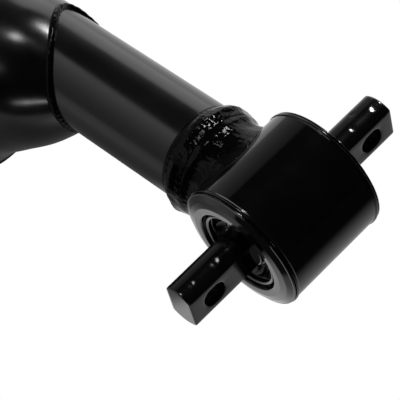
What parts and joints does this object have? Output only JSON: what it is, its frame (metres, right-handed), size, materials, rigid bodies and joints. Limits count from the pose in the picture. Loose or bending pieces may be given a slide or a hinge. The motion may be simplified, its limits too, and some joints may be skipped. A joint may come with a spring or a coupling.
{
  "type": "telescopic hydraulic strut",
  "caption": "Twin-tube hydraulic strut: rubber-bushed bar pin in a welded eye, outer tube with a tilted spring seat, sliding chrome rod with a threaded stud.",
  "frame": {"origin": "middle of the bar pin, on the tube's axis, centre of the two lower bolt slots", "axes": "+X along the tube towards the rod's stud, +Y along the bar pin, +Z completes the frame"},
  "size_m": [0.5792, 0.148, 0.1219],
  "materials": {
    "black_paint": "gloss black paint over steel",
    "rubber": "moulded black rubber",
    "bare_steel": "machined steel",
    "satin_black_paint": "satin black paint over steel tube",
    "sintered_iron": "sintered iron",
    "spring_steel": "blued spring steel",
    "ptfe_band": "filled PTFE",
    "chrome_rod": "ground hard chrome",
    "urethane": "moulded urethane"
  },
  "bodies": {
    "mount_pin": {"bar_pin": "black_paint"},
    "cylinder": {"bush_rubber": "rubber", "bush_outer_sleeve": "bare_steel", "bush_retainer_left": "black_paint", "bush_retainer_right": "black_paint", "eye_housing": "black_paint", "eye_end_ring_left": "black_paint", "eye_end_ring_right": "black_paint", "base_cap": "black_paint", "base_cap_weld": "black_paint", "eye_weld": "black_paint", "reserve_tube": "satin_black_paint", "pressure_tube": "bare_steel", "spring_seat": "satin_black_paint", "spring_seat_weld": "black_paint", "base_valve_body": "sintered_iron", "base_valve_star_spring": "spring_steel", "base_valve_discs": "spring_steel", "base_valve_nut": "bare_steel", "base_valve_bolt": "bare_steel", "rod_guide": "sintered_iron", "guide_o_ring": "rubber", "rod_guide_bush": "ptfe_band", "rod_seal": "rubber", "seal_garter_spring": "spring_steel", "closing_plate": "bare_steel", "striker_cap": "satin_black_paint"},
    "piston_ring": {"piston_band": "ptfe_band"},
    "rod": {"piston": "sintered_iron", "piston_rebound_discs": "spring_steel", "piston_star_spring": "spring_steel", "piston_nut": "bare_steel", "piston_rod": "chrome_rod", "rebound_stop_ring": "bare_steel", "rebound_bumper": "urethane"},
    "intake_plate": {"base_valve_intake_plate": "spring_steel"},
    "check_plate": {"piston_check_plate": "spring_steel"}
  },
  "joints": [
    {"name": "bush_twist", "type": "hinge", "parent": "mount_pin", "child": "cylinder", "pos_m": [0, 0, 0], "axis": [0, 1, 0], "range_deg": [-12, 12], "stiffness_Nm_per_rad": 500},
    {"name": "rod_slide", "type": "slide", "parent": "cylinder", "child": "piston_ring", "axis": [1, 0, 0], "range_m": [-0.14, 0], "stiffness_N_per_m": 250, "springref_m": 0.4},
    {"name": "rod_spin", "type": "hinge", "parent": "piston_ring", "child": "rod", "pos_m": [0.281, 0, 0], "axis": [1, 0, 0], "continuous": true},
    {"name": "intake_lift", "type": "slide", "parent": "cylinder", "child": "intake_plate", "axis": [1, 0, 0], "range_m": [0, 0.001], "stiffness_N_per_m": 400, "springref_m": -0.002},
    {"name": "check_lift", "type": "slide", "parent": "rod", "child": "check_plate", "axis": [1, 0, 0], "range_m": [0, 0.001], "stiffness_N_per_m": 400, "springref_m": -0.002}
  ]
}
